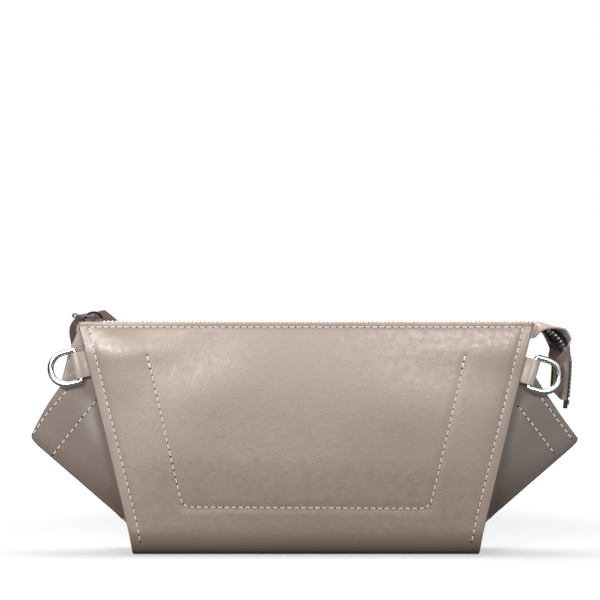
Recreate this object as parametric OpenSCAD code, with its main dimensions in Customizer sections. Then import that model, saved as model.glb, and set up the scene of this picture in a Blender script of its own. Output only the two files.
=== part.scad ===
// Trapeze bag: a leather clutch with a tapering wrapped body, a zip across
// the top, V-folded gussets that spread out as wings, and a D-ring on each
// side. Millimetres, +Z up, +X to the right, the front face looks along -Y.
// The origin is on the ground under the middle of the bag.

/* [Body] */
// Width across the top edge of the front panel
top_w = 276; // [240:2:310]
// Width across the bottom
bottom_w = 209; // [180:1:230]
// Height of the body above the ground
body_h = 140; // [120:1:160]
// Depth from front to back at the fullest point
body_depth = 46; // [36:1:50]
// Depth over both panels at the top edge
mouth_depth = 18.8; // [18.4:0.2:22]
// Outside radius of the two bottom bends
bend_r = 14; // [12:0.5:17]
// Thickness of the body leather
body_t = 1.7; // [1.2:0.1:2]
// Height at which the tapering side would meet the bottom width
taper_foot_z = 8.5; // [6:0.5:14]
// Radius that eases the tapering side into the bottom
foot_ease_r = 70; // [50:5:90]

/* [Pocket] */
// Width of the inner pocket across its top
pocket_top_w = 197; // [160:1:210]
// Width of the inner pocket across its bottom
pocket_bottom_w = 154; // [130:1:165]
// Height of the pocket's lower edge above the ground
pocket_foot_z = 24; // [22:1:40]
// Distance of the pocket's open top edge below the body's top edge
pocket_drop = 19; // [18:1:48]
// Thickness of the pocket leather
pocket_t = 1.2; // [0.8:0.1:1.4]

/* [Gussets] */
// Reach of a wing tip past the panel's top corner
wing_reach = 30.3; // [17:0.1:47]
// Distance of a wing tip below the body's top edge
tip_drop = 71; // [60:1:80]
// Distance below the top edge at which a gusset's hem leaves the panel
hem_drop = 21.5; // [20:0.5:28]
// Width of the lap between a gusset and a panel
lap_w = 9.5; // [7:0.5:12]
// Thickness of the gusset leather
gusset_t = 1.3; // [0.9:0.1:1.5]
// Radius of the fold down the middle of a gusset, to mid thickness
fold_r = 2.6; // [2.2:0.1:3.4]
// Width of the facing sewn inside the hem
facing_w = 20; // [14:1:26]
// Thickness of the facing
facing_t = 1; // [0.7:0.1:1.2]

/* [Zip] */
// Height of the chain's mid plane above the ground, below the top edge
chain_drop = 0.5; // [0.2:0.1:1]
// Distance from one tooth to the next on one side
tooth_pitch = 2.5; // [2.4:0.1:3]
// Length of a tooth along the chain
tooth_t = 1.1; // [0.9:0.05:1.15]
// Height of a tooth
tooth_h = 2.4; // [2:0.1:2.6]
// Reach of a tooth from the chain's middle over the tape
tooth_reach = 2.6; // [2.4:0.1:2.8]
// Reach of a tooth past the chain's middle
tooth_nose = 0.7; // [0.5:0.05:0.8]
// Thickness of the tape
tape_t = 0.6; // [0.4:0.05:0.7]
// Half width of the gap between the two leather strips
strip_gap = 5; // [4.9:0.05:5.3]
// Thickness of the strip leather
strip_t = 0.9; // [0.7:0.05:1]
// Width of the strip's flange behind the panel
flange_w = 8; // [6:0.5:8.5]
// Length of the leather tails at the right end
right_tail = 61; // [56:1:64]
// Length of the front half's tail at the left end
left_tail_front = 39; // [30:1:40]
// Length of the back half's tail at the left end
left_tail_back = 27; // [20:1:27]
// Distance of the closed slider inside the panel's top corner
slider_inset = 8.5; // [8.5:0.5:18]

/* [Slider] */
// Length of the slider body
slider_l = 12; // [11:0.5:12.5]
// Half width of the slider body at its mouth
slider_half_w = 4.6; // [4.5:0.05:4.7]
// Half width of the slider body at its tail
slider_tail_half_w = 3.5; // [3.4:0.05:3.8]
// Thickness of the slider's plates
slider_plate_t = 1.3; // [1:0.1:1.4]
// Outside radius of the crown over the pull
crown_r = 6; // [5.6:0.1:6.2]
// Width of the crown
crown_w = 2.2; // [1.8:0.1:2.4]
// Length of the pull from its pivot bar to its far knuckle
pull_l = 11.5; // [10:0.5:16]
// Width of the pull
pull_w = 6.2; // [5.8:0.1:7]
// Thickness of the pull
pull_t = 1.2; // [1:0.1:1.4]

/* [D-rings] */
// Diameter of the ring wire
wire_d = 3; // [2.5:0.1:3.2]
// Radius of the ring's big arc, to the middle of the wire
ring_r = 10.15; // [9.8:0.05:11]
// Distance from the bar to the middle of the big arc
ring_depth = 6.9; // [6:0.1:7.5]
// Bend radius at the ends of the bar, to the middle of the wire
corner_r = 1.7; // [1.6:0.1:2]
// Distance of the bar in front of the tab's middle layer
bar_forward = 1; // [0.6:0.1:1.3]
// Distance of the bar outside the panel's edge
bar_out = 6.6; // [5:0.1:7]
// Distance of the left ring's bar below the body's top edge
ring_drop_left = 26.1; // [25.5:0.1:32]
// Distance of the right ring's bar below the body's top edge
ring_drop_right = 30.2; // [25.5:0.1:32]
// Tilt of the left ring's bar, top outwards
ring_tilt_left = 14; // [10:0.5:22]
// Tilt of the right ring's bar, top outwards
ring_tilt_right = 17; // [10:0.5:22]
// Thickness of the tab leather
tab_t = 1.3; // [1:0.1:1.4]
// Width of a tab along the bar
tab_w = 15.8; // [14:0.1:15.8]
// Length of tab held inside the seam
tab_hold = 8; // [6:0.5:9]

/* [Hidden] */
$fn = 64;

leather = [0.72, 0.63, 0.56];
leather_dark = [0.36, 0.27, 0.24];
black_tape = [0.08, 0.08, 0.09];
silver = [0.78, 0.79, 0.8];

// Air left between layers that are sewn or glued together
layer_gap = 0.05;
// Clearance of the moving metal parts
run_gap = 0.1;

function mix(a, b, k) = a + (b - a) * k;
function unit(v) = v / norm(v);
function smooth(x) = let (c = min(max(x, 0), 1)) c * c * (3 - 2 * c);

// Side profile of the body. The flat of the base is 2 * flat_half wide, the
// bends follow, and the panels lean in to the mouth, tangent to the bends.
flat_half = body_depth / 2 - bend_r;
mouth_in = mouth_depth / 2 - flat_half;
mouth_up = body_h - bend_r;
lean = atan2(mouth_up, mouth_in) - acos(bend_r / norm([mouth_in, mouth_up]));

// Where the bend meets the leaning panel, at depth d under the outer face
function bend_end(d) = [flat_half + (bend_r - d) * cos(lean), bend_r + (bend_r - d) * sin(lean)];

// Half depth of the body at height z, at depth d under the outer face
function face_y(z, d) =
    let (e = bend_end(d), q = bend_r - d)
    z > e[1]
        ? e[0] - (z - e[1]) * tan(lean)
        : flat_half + sqrt(max(q * q - pow(bend_r - z, 2), 0));

// Outline of the panels from the front. The side tapers, then eases into
// the bottom width.
taper = (top_w - bottom_w) / 2 / (body_h - taper_foot_z);
ease_len = foot_ease_r * tan(atan(taper) / 2);
ease_low = taper_foot_z - ease_len;
ease_high = taper_foot_z + ease_len * cos(atan(taper));

function half_w(z) =
    z >= ease_high ? top_w / 2 - (body_h - z) * taper
    : z <= ease_low ? bottom_w / 2
    : bottom_w / 2 + foot_ease_r - sqrt(pow(foot_ease_r, 2) - pow(z - ease_low, 2));

ease_steps = [for (i = [0:6]) mix(max(ease_low, 0), ease_high, i / 6)];
outline_z = concat(ease_low > 0 ? [0] : [], ease_steps, [body_h]);

module front_outline() {
    polygon(concat(
        [for (z = outline_z) [half_w(z), z]],
        [for (i = [len(outline_z) - 1:-1:0]) [-half_w(outline_z[i]), outline_z[i]]]
    ));
}

// Filled side profile at depth d under the outer face. The feet of the
// panels' lines sit a hair inside the bends.
foot_inset = 0.02;

module side_shape(d, top) {
    foot = bend_end(d + foot_inset);
    for (side = [-1, 1])
        translate([side * flat_half, bend_r]) circle(bend_r - d);
    polygon([
        [-flat_half, d], [flat_half, d], foot, [face_y(top, d), top],
        [-face_y(top, d), top], [-foot[0], foot[1]]
    ]);
}

module along_x(length) {
    rotate([90, 0, 90]) linear_extrude(length, center = true) children();
}

module along_y(length) {
    rotate([90, 0, 0]) linear_extrude(length, center = true) children();
}

// One piece of leather wraps the front, the base and the back.
module body_panel() {
    color(leather)
    intersection() {
        along_x(top_w + 2) difference() {
            side_shape(0, body_h);
            side_shape(body_t, body_h + 5);
        }
        along_y(body_depth + 2) front_outline();
    }
}

// A flat panel sewn behind the front, open along its top.
pocket_d = body_t + layer_gap;
pocket_top_z = body_h - pocket_drop;

module inner_pocket() {
    color(leather_dark)
    intersection() {
        along_x(top_w) polygon([
            for (p = [
                [pocket_foot_z, pocket_d], [pocket_top_z, pocket_d],
                [pocket_top_z, pocket_d + pocket_t], [pocket_foot_z, pocket_d + pocket_t]
            ]) [-face_y(p[0], p[1]), p[0]]
        ]);
        along_y(body_depth) polygon([
            [-pocket_bottom_w / 2, pocket_foot_z], [pocket_bottom_w / 2, pocket_foot_z],
            [pocket_top_w / 2, pocket_top_z], [-pocket_top_w / 2, pocket_top_z]
        ]);
    }
}

// Sheets of leather and tape are grids of points at mid thickness.
function grid_normal(g, i, j) =
    let (
        r = len(g) - 1,
        c = len(g[0]) - 1,
        du = g[min(i + 1, r)][j] - g[max(i - 1, 0)][j],
        dv = g[i][min(j + 1, c)] - g[i][max(j - 1, 0)]
    )
    unit(cross(du, dv));

function offset_grid(g, d) = [
    for (i = [0:len(g) - 1]) [
        for (j = [0:len(g[0]) - 1]) g[i][j] + d * grid_normal(g, i, j)
    ]
];

function quad(a, b, c, d) = [[a, b, c], [a, c, d]];

module sheet(g, t) {
    r = len(g);
    c = len(g[0]);
    n = r * c;
    points = [for (d = [t / 2, -t / 2]) for (row = offset_grid(g, d)) each row];
    faces = concat(
        [for (i = [0:r - 2]) for (j = [0:c - 2]) let (k = i * c + j)
            each concat(quad(k, k + 1, k + c + 1, k + c),
                        quad(n + k, n + k + c, n + k + c + 1, n + k + 1))],
        [for (j = [0:c - 2]) let (k = (r - 1) * c + j)
            each concat(quad(j + 1, j, n + j, n + j + 1), quad(k, k + 1, n + k + 1, n + k))],
        [for (i = [0:r - 2]) let (k = i * c, m = k + c - 1)
            each concat(quad(k, k + c, n + k + c, n + k), quad(m + c, m, n + m, n + m + c))]
    );
    polyhedron(points, faces, convexity = 6);
}

// A gusset is one piece folded down the middle. Ribs run from its lap on the
// front panel over the fold to its lap on the back panel. The first rib is
// the hem, and the last lies in the bend of the base.
hem_z = body_h - hem_drop;
tip_x = top_w / 2 + wing_reach;
tip_z = body_h - tip_drop;
hem_slope = (hem_z - tip_z) / (half_w(hem_z) - tip_x);
hem_top_z = hem_z - hem_slope * lap_w / (1 - hem_slope * taper);
lap_d = body_t + layer_gap + gusset_t / 2;
tab_stack = 2 * tab_t + layer_gap;
lap_foot_z = bend_end(lap_d)[1];
fold_foot_z = bend_r - 3;
ring_z_left = body_h - ring_drop_left;
ring_z_right = body_h - ring_drop_right;
tab_foot_z = min(ring_z_left, ring_z_right) - tab_w / 2;

function lap_u(z) = half_w(z) - lap_w;

// Share of the tab's thickness by which the front lap stands back
function set_back(z) = smooth((z - tab_foot_z + 12) / 8);

// How far rib t has turned from the wing's V to the base's U
function turn(t) = smooth((t - 0.8) / 0.2);

function rib_start(t) = let (z = mix(hem_top_z, lap_foot_z, t)) [lap_u(z), z];

function rib_fold(t) =
    let (
        tip = [tip_x - gusset_t / 2, tip_z] - fold_r * unit([tip_x, tip_z] - rib_start(0)),
        foot = [lap_u(lap_foot_z), fold_foot_z],
        base = [lap_u(0), lap_d + 0.3]
    )
    mix(tip, foot, t) + turn(t) * (base - foot);

rib_steps = 8;
wing_bow = 1.9;

// Point of rib t on one side (-1 front, 1 back), j steps from the lap
function rib_point(t, side, j) =
    let (
        a = 90 * min(j, rib_steps) / rib_steps,
        r = mix(fold_r, 0.3, turn(t)),
        start = rib_start(t),
        fold = rib_fold(t),
        reach = mix(pow(sin(a), wing_bow), a / 90, turn(t)),
        belly = a == 90 ? 0 : mix(pow(cos(a), wing_bow), 1, turn(t)),
        d = lap_d + (side < 0 ? tab_stack * set_back(start[1]) : 0),
        p = mix(start, fold, reach),
        cap = 30 * max(j - rib_steps, 0),
        q = p + r * sin(cap) * unit(fold - start)
    )
    [q[0], side * (r * cos(cap) + (face_y(p[1], d) - r) * belly), q[1]];

function rib(t) = concat(
    [for (j = [0:rib_steps + 3]) rib_point(t, -1, j)],
    [for (j = [rib_steps + 2:-1:0]) rib_point(t, 1, j)]
);

gusset_rows = [0, 0.04, 0.1, 0.18, 0.28, 0.38, 0.48, 0.58, 0.68, 0.76, 0.83, 0.89, 0.94, 0.97, 1];
gusset_grid = [for (t = gusset_rows) rib(t)];

hem_inset = 0.01;
fold_len = norm(rib_fold(0) - [lap_u(lap_foot_z), fold_foot_z]);
facing_grid = offset_grid(
    [for (i = [0:4]) rib(hem_inset + i / 4 * facing_w / fold_len)],
    -(gusset_t / 2 + 2 * layer_gap + facing_t / 2)
);

module gusset() {
    color(leather) sheet(gusset_grid, gusset_t);
}

module gusset_facing() {
    color(leather) sheet(facing_grid, facing_t);
}

module gusset_left() {
    mirror([1, 0, 0]) gusset();
}

module gusset_right() {
    gusset();
}

module gusset_facing_left() {
    mirror([1, 0, 0]) gusset_facing();
}

module gusset_facing_right() {
    gusset_facing();
}

// The zip. A frame is [point on the chain's middle, direction along the
// zip, direction across it, outward normal]. The tails are walked in steps
// of half a tooth pitch along a heading that turns down.
chain_z = body_h - chain_drop;
step = tooth_pitch / 2;
slider_x = top_w / 2 - slider_inset;
mouth_right = top_w / 2 - 1;
mouth_left = tooth_pitch * ceil((slider_x + 4 + mouth_right) / tooth_pitch) - mouth_right;

// Tables of [distance along the tail, value]. Headings turn down from the
// mouth, rolls turn the zip about its own line, droops bend both sides
// down beside the teeth, and shifts move it back.
right_heading = [
    [0, 0], [3, 9], [10, 34], [17, 44], [25, 54], [32, 69], [38, 90], [42, 94], [70, 96]
];
right_roll = [[0, 0], [6, 6], [11, 16], [18, 38], [24, 36], [30, 10], [37, -8], [70, -10]];
right_droop = [[24, 0], [30, 10], [37, 32], [70, 36]];
right_shift = [[14, 0], [26, 2.5], [33, 3], [44, 2], [70, 1.5]];
front_heading = [[0, 0], [2, 25], [6.5, 90], [14, 84], [24, 76], [40, 74]];
front_roll = [[0, 0], [5, -10], [9, -15], [16, 15], [24, 28], [40, 30]];
front_shift = [[0, 0], [7, 0], [14, 0.6], [22, 1.2], [33, 4.2], [40, 4.6]];
back_heading = [[0, 0], [6, 98], [12, 104], [18, 92], [40, 88]];
back_roll = [[0, 0], [40, 0]];
back_shift = [[2, 0], [6, 1.8], [40, 2.4]];

function walk(heading, n) = [
    for (
        i = 0, p = [0, 0];
        i <= n;
        p = p + step * [cos(lookup((i + 0.5) * step, heading)), -sin(lookup((i + 0.5) * step, heading))],
        i = i + 1
    ) p
];

function tail_frames(way, x, heading, roll, shift, n) =
    let (path = walk(heading, n))
    [
        for (i = [0:n])
            let (
                s = i * step,
                h = lookup(s, heading),
                r = lookup(s, roll),
                up = [way * sin(h), 0, cos(h)],
                across = [0, 1, 0]
            )
            [
                [way * (x + path[i][0]), lookup(s, shift), chain_z + path[i][1]],
                [way * cos(h), 0, -sin(h)],
                cos(r) * across - sin(r) * up,
                cos(r) * up + sin(r) * across
            ]
    ];

function straight_frame(x) = [[x, 0, chain_z], [1, 0, 0], [0, 1, 0], [0, 0, 1]];

function moved(f, y) = [f[0] + [0, y, 0], f[1], f[2], f[3]];

// The two rows part ahead of the slider's post and close up with the
// strips again past the slider.
part_w = tooth_nose + 0.55;

function parting(x) = part_w * min(max((-x - slider_x + 2) / 4.5, 0), 1);

right_n = floor((right_tail + 5) / step);
front_n = floor(left_tail_front / step);
back_n = floor(left_tail_back / step);
right_frames = tail_frames(1, mouth_right, right_heading, right_roll, right_shift, right_n);
front_frames = tail_frames(-1, mouth_left, front_heading, front_roll, front_shift, front_n);
back_frames = tail_frames(-1, mouth_left, back_heading, back_roll, back_shift, back_n);

function left_n(side) = side < 0 ? front_n : back_n;
function left_frame(side, i) = side < 0 ? front_frames[i] : back_frames[i];
function left_row(side, i) = moved(left_frame(side, i), side * part_w * max(1 - i * step / 8, 0));
function mouth_row(side, x) = moved(straight_frame(x), side * parting(x));

// Fold of the flange down from the web, and share of the flange's width,
// by the distance along the tail. Inside the mouth the distance is
// negative. The flange is clipped where it leaves the seam, so the front
// tail can turn down and the back one can turn up.
mouth_fold = 90 - lean;
clip = mouth_left - slider_x + 14.5;
right_fold_front = [
    [2, mouth_fold], [5, 42], [8, 28], [12, 22], [18, 28], [24, 33], [26, 39], [30, 62],
    [33, 73], [37, 80], [44, 95], [70, 97]
];
right_fold_back = [
    [2, mouth_fold], [5, 34], [8, 8], [12, -16], [18, -34], [24, -20], [30, 55], [37, 66], [70, 75]
];
left_fold_front = [[-1, mouth_fold], [8, 80], [16, 110], [24, 122], [40, 122]];
left_fold_back = [
    [-clip - 0.1, mouth_fold], [-clip + 0.1, -55], [1, -55], [8, -38], [18, -25], [27, -15]
];
left_width_front = [[-6.5, 1], [-2.5, 0.06], [6, 0.06], [13, 0.45], [19, 1]];
left_width_back = [
    [-clip - 3, 1], [-clip - 0.1, 0.06], [-clip + 0.1, 0.06], [-clip + 9, 1], [-1.5, 0.66], [8, 0.75], [14, 1]
];
full_width = [[0, 1], [1, 1]];
no_droop = [[0, 0], [1, 0]];

// Directions and bends within a section: distance across from the chain,
// and height over it
function down(a) = [cos(a), -sin(a)];

function drooped(p, a) =
    let (v = p - [tape_bend, 0])
    v[0] <= 0 ? p : [tape_bend, 0] + v[0] * down(a) - v[1] * down(a + 90);

// Section across one strip, from the zip to the free edge
web = [[strip_gap, 0.5], [6.2, 0.2]];

function strip_section(fold, width) =
    let (
        w = min(0.25 + width, 1),
        a = web[1] + w * down(0.45 * fold),
        b = a + 0.8 * w * down(0.85 * fold)
    )
    concat(web, [a, b], [for (k = [0.25, 0.6, 1]) b + k * width * flange_w * down(fold)]);

function strip_row(f, side, fold, width, droop, cut) = [
    for (p = strip_section(fold, width))
        let (q = drooped(p, droop))
        f[0] + side * q[0] * f[2] + q[1] * f[3] - cut * max(norm(p - web[1]) - 2.5, 0) * f[1]
];

// The tape's inner half follows its row and its outer half the strip.
tape_bend = tooth_reach + 0.2;
tape_inner = [[tooth_reach - 1, 0], [tape_bend, 0]];
tape_outer = [[strip_gap, -0.42], [5.7, -0.6]];

function tape_row(row, f, side, droop) = concat(
    [for (p = tape_inner) row[0] + side * p[0] * row[2] + p[1] * row[3]],
    [for (p = tape_outer) let (q = drooped(p, droop)) f[0] + side * q[0] * f[2] + q[1] * f[3]]
);

function reversed(v) = [for (i = [len(v) - 1:-1:0]) v[i]];

// Stations inside the mouth, as distances from its left end
strip_stations = [
    1, 2.5, 3.5, 6.5, 8, clip - 9, clip - 4.5, clip - 0.1, clip + 0.1, clip + 3,
    mouth_left - 20, mouth_left + 110, mouth_left + mouth_right - 1
];
row_stations = [
    mouth_left - slider_x - 2.5, mouth_left - slider_x + 2, mouth_left - 20,
    mouth_left + 110, mouth_left + mouth_right - 1
];

function strip_grid(side) =
    let (
        n = floor(right_tail / step),
        left_fold = side < 0 ? left_fold_front : left_fold_back,
        left_width = side < 0 ? left_width_front : left_width_back,
        right_fold = side < 0 ? right_fold_front : right_fold_back,
        m = left_n(side)
    )
    concat(
        [for (i = [m:-1:0]) strip_row(
            left_frame(side, i), side, lookup(i * step, left_fold), lookup(i * step, left_width),
            0, 0)],
        [for (s = strip_stations) strip_row(
            straight_frame(s - mouth_left), side, lookup(-s, left_fold), lookup(-s, left_width), 0, 0)],
        [for (i = [0:n]) strip_row(
            right_frames[i], side, lookup(i * step, right_fold), 1,
            lookup(i * step, right_droop), 0.8 * smooth((i / n - 0.75) / 0.25))]
    );

function tape_grid(side) = concat(
    [for (i = [left_n(side):-1:0]) tape_row(left_row(side, i), left_frame(side, i), side, 0)],
    [for (s = row_stations) let (x = s - mouth_left)
        tape_row(mouth_row(side, x), straight_frame(x), side, 0)],
    [for (i = [0:right_n])
        tape_row(right_frames[i], right_frames[i], side, lookup(i * step, right_droop))]
);

module zip_strip(side) {
    color(leather) sheet(strip_grid(side), strip_t);
}

module zip_tape(side) {
    color(black_tape) sheet(tape_grid(side), tape_t);
}

module zip_strip_front() {
    zip_strip(-1);
}

module zip_strip_back() {
    zip_strip(1);
}

module zip_tape_front() {
    zip_tape(-1);
}

module zip_tape_back() {
    zip_tape(1);
}

// Puts a child's x across the zip, its y outwards and its z along it.
module at_frame(f, side) {
    x = side * f[2];
    y = f[3];
    z = cross(x, y);
    multmatrix([
        [x[0], y[0], z[0], f[0][0]],
        [x[1], y[1], z[1], f[0][1]],
        [x[2], y[2], z[2], f[0][2]],
        [0, 0, 0, 1]
    ]) children();
}

// Section of a tooth: two legs crimped over the tape's edge, and a nose
slot_h = tape_t / 2 + 0.08;
slot_x = tooth_reach - 1 - layer_gap;

module tooth_section(nose) {
    h = tooth_h / 2;
    polygon([
        [-nose, -h * 0.6], [-nose, h * 0.6], [-nose + 0.45, h], [tooth_reach, h],
        [tooth_reach, slot_h], [slot_x, slot_h], [slot_x, -slot_h], [tooth_reach, -slot_h],
        [tooth_reach, -h], [-nose + 0.45, -h]
    ]);
}

module tooth(f, side) {
    at_frame(f, side)
        linear_extrude(tooth_t, center = true) tooth_section(tooth_nose);
}

// Teeth stand on every second half step: the front row on the odd ones
// and the back row on the even ones.
mouth_teeth = round((mouth_right + mouth_left) / tooth_pitch);

module zip_teeth(side) {
    first = side < 0 ? 1 : 2;
    color(silver) {
        for (i = [first:2:left_n(side) - 4]) tooth(left_row(side, i), side);
        for (i = [0:mouth_teeth - 1])
            tooth(mouth_row(side, mouth_right - (2 * i + first) * step), side);
        for (i = [2 - first:2:right_n - 6]) tooth(right_frames[i], side);
    }
}

module zip_teeth_front() {
    zip_teeth(-1);
}

module zip_teeth_back() {
    zip_teeth(1);
}

// A stop crimped on the end of each row
stop_l = 2.8;

module zip_top_stop(side) {
    color(silver) at_frame(left_row(side, left_n(side) - 2), side)
        linear_extrude(stop_l, center = true) tooth_section(0);
}

module zip_top_stop_front() {
    zip_top_stop(-1);
}

module zip_top_stop_back() {
    zip_top_stop(1);
}

// A stop crimped over both tapes at the closed end of the chain
module zip_bottom_stop() {
    half = [
        [tooth_reach, -tooth_h / 2], [tooth_reach, -slot_h], [slot_x, -slot_h],
        [slot_x, slot_h], [tooth_reach, slot_h], [tooth_reach, tooth_h / 2]
    ];
    color(silver) at_frame(right_frames[right_n - 3], 1)
        linear_extrude(stop_l, center = true)
            polygon(concat(half, [for (p = reversed(half)) [-p[0], p[1]]]));
}

// Slider: two plates joined by a wedge-shaped post, with flanges that keep
// the teeth in and leave a gap for the tape.
channel_h = tooth_h / 2 + run_gap;
slider_top_z = chain_z + channel_h + slider_plate_t;
mouth_end = -slider_l / 2 - 0.5;
tail_end = slider_l / 2 - 0.5;
tape_gap = tape_t / 2 + 0.45;

module slider_outline(shrink) {
    w = slider_half_w - shrink;
    v = slider_tail_half_w - shrink;
    polygon([
        [mouth_end + 1, -w + 0.5], [mouth_end + 2, -w], [-1.5, -w], [2.5, -v], [tail_end, -v],
        [tail_end, v], [2.5, v], [-1.5, w], [mouth_end + 2, w], [mouth_end + 1, w - 0.5],
        [mouth_end, w - 2], [mouth_end, -w + 2]
    ]);
}

module channel_outline() {
    w = slider_half_w - 0.65;
    v = slider_tail_half_w - 0.75;
    polygon([
        [mouth_end - 1, -w], [-1.5, -w], [2.5, -v], [tail_end + 1, -v],
        [tail_end + 1, v], [2.5, v], [-1.5, w], [mouth_end - 1, w]
    ]);
}

module zip_slider_body() {
    color(silver)
    translate([-slider_x, 0, chain_z]) {
        for (up = [0, 1]) mirror([0, 0, up]) {
            translate([0, 0, channel_h]) linear_extrude(slider_plate_t) slider_outline(0);
            translate([0, 0, tape_gap]) linear_extrude(channel_h - tape_gap) difference() {
                slider_outline(0);
                channel_outline();
            }
        }
        translate([0, 0, -channel_h]) linear_extrude(2 * channel_h) polygon([
            [mouth_end + 1, 0.25], [mouth_end + 2.6, 0.5], [mouth_end + 4, 0],
            [mouth_end + 2.6, -0.5], [mouth_end + 1, -0.25]
        ]);
    }
}

// The crown is an arch riveted to the top plate; the pull's bar turns
// under it.
crown_t = 1.2;
crown_top_z = slider_top_z + 4.6;
crown_centre_z = crown_top_z - crown_r;
pivot_z = crown_top_z - crown_t - 1.4;
bar_r = 0.9;

module zip_slider_crown() {
    color(silver)
    translate([-slider_x, 0, 0]) along_y(crown_w) intersection() {
        translate([0, crown_centre_z]) difference() {
            circle(crown_r);
            circle(crown_r - crown_t);
        }
        translate([-crown_r, slider_top_z]) square([2 * crown_r, crown_r]);
    }
}

// The pull is a flat eye round the crown, ending in a cross-drilled knuckle.
pull_window = 5.8;
knuckle_r = 1.5;
knuckle_hole_r = 0.8;
arm_w = 1.3;

module zip_pull() {
    color(silver)
    translate([-slider_x, 0, pivot_z]) {
        rotate([90, 0, 0]) cylinder(h = pull_w, r = bar_r, center = true);
        for (side = [-1, 1])
            translate([-pull_window - 0.5, side * (pull_w - arm_w) / 2 - arm_w / 2, -pull_t / 2])
                cube([pull_window + 0.5, arm_w, pull_t]);
        difference() {
            union() {
                translate([-pull_l, -pull_w / 2, -pull_t / 2])
                    cube([pull_l - pull_window, pull_w, pull_t]);
                translate([-pull_l, 0, 0]) rotate([90, 0, 0])
                    cylinder(h = pull_w, r = knuckle_r, center = true);
            }
            translate([-pull_l, 0, 0]) rotate([90, 0, 0])
                cylinder(h = pull_w + 2, r = knuckle_hole_r, center = true);
        }
    }
}

// D-rings and their tabs are drawn round the bar, which stands along z, with
// the ring on the -x side. They lean with the panel and tilt with the seam.
wire_r = wire_d / 2;
leg_x = ring_depth - corner_r;

module wire_arc(r, from, to) {
    rotate([0, 0, from]) rotate_extrude(angle = to - from) translate([r, 0]) circle(wire_r);
}

// Flat ring about the middle of its big arc, with the bar on the -x side
module flat_ring() {
    wire_arc(ring_r, -90, 90);
    for (side = [-1, 1]) {
        translate([-leg_x, side * ring_r, 0]) rotate([0, 90, 0]) cylinder(h = leg_x, r = wire_r);
        translate([-leg_x, side * (ring_r - corner_r), 0])
            wire_arc(corner_r, side > 0 ? 90 : 180, side > 0 ? 180 : 270);
    }
    translate([-ring_depth, 0, 0]) rotate([90, 0, 0])
        cylinder(h = 2 * (ring_r - corner_r), r = wire_r, center = true);
}

module dring() {
    color(silver)
    rotate([90, 0, 180]) translate([ring_depth, 0, 0]) flat_ring();
}

// A tab runs round the bar and closes to two layers at the neck.
loop_in = wire_r + run_gap;
loop_out = loop_in + tab_t;
neck = [bar_out - tab_t, bar_forward];

// Point just inside a circle at the origin, where a line from p touches it
function touch(p, r, way) =
    let (a = atan2(p[1], p[0]) + way * acos(r / norm(p)))
    0.98 * r * [cos(a), sin(a)];

module dring_tab() {
    end = bar_out + tab_hold;
    front = neck - [0, tab_t];
    back = neck + [0, tab_t];
    color(leather)
    linear_extrude(tab_w, center = true) difference() {
        union() {
            circle(loop_out);
            polygon([
                [0, 0], touch(front, loop_out, -1), front, [end, front[1]],
                [end, back[1]], back, touch(back, loop_out, 1)
            ]);
        }
        circle(loop_in);
        polygon([[0, 0], touch(neck, loop_in, -1), neck, touch(neck, loop_in, 1)]);
    }
}

// Moves a left-hand child from the bar to its place on the front seam
tab_d = body_t + layer_gap + tab_t - bar_forward;

module at_left_seam(z, tilt) {
    translate([-half_w(z) - bar_out, -face_y(z, tab_d), z])
        rotate([-lean, 0, 0]) rotate([0, -tilt, 0]) children();
}

module dring_tab_left() {
    at_left_seam(ring_z_left, ring_tilt_left) dring_tab();
}

module dring_tab_right() {
    mirror([1, 0, 0]) at_left_seam(ring_z_right, ring_tilt_right) dring_tab();
}

module dring_left() {
    at_left_seam(ring_z_left, ring_tilt_left) dring();
}

module dring_right() {
    mirror([1, 0, 0]) at_left_seam(ring_z_right, ring_tilt_right) dring();
}

body_panel();
inner_pocket();
gusset_left();
gusset_right();
gusset_facing_left();
gusset_facing_right();
zip_strip_front();
zip_strip_back();
zip_tape_front();
zip_tape_back();
zip_teeth_front();
zip_teeth_back();
zip_top_stop_front();
zip_top_stop_back();
zip_bottom_stop();
zip_slider_body();
zip_slider_crown();
zip_pull();
dring_tab_left();
dring_tab_right();
dring_left();
dring_right();
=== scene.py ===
import random
from math import acos, atan, atan2, cos, exp, hypot, pi, radians, sin, sqrt, tan

import bmesh
import bpy
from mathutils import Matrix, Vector
from mathutils.bvhtree import BVHTree


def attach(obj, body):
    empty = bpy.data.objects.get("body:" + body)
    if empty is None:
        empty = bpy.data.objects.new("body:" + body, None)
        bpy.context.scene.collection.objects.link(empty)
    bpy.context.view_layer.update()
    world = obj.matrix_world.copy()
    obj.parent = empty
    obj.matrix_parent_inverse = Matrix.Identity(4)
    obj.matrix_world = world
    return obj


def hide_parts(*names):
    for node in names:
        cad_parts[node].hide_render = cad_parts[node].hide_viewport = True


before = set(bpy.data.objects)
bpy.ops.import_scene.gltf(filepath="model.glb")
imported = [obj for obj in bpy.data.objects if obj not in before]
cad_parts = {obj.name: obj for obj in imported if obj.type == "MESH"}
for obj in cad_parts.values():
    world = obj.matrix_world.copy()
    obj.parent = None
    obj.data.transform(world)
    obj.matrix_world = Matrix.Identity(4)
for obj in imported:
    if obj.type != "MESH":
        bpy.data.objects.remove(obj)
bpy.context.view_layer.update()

# The bag stands on a white paper sweep. The camera is level with the mouth and far off, two soft
# lights hang high in front and one overhead, and weak ones fill in from both sides. The camera
# sees white paper and air. The bag's own shine and shade come from cards and dim paper, save the
# shade painted into the wings, the right tail and the needle holes.
MM = 0.001
CAMERA_LENS = 110.2
CAMERA_FILM = 36
CAMERA_AT = (-3.6, -1121, 153.6)
PAPER_HALF = 6
PAPER_Z = -0.2 * MM
WHITE = (1, 1, 1, 1)
AIR = (0.13, 0.135, 0.145, 1)
AIR_SIDE = (0.05, 0.05, 0.055, 1)
PAPER = (0.5, 0.5, 0.5, 1)
PAPER_BOUNCE = (0.11, 0.115, 0.126, 1)
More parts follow.
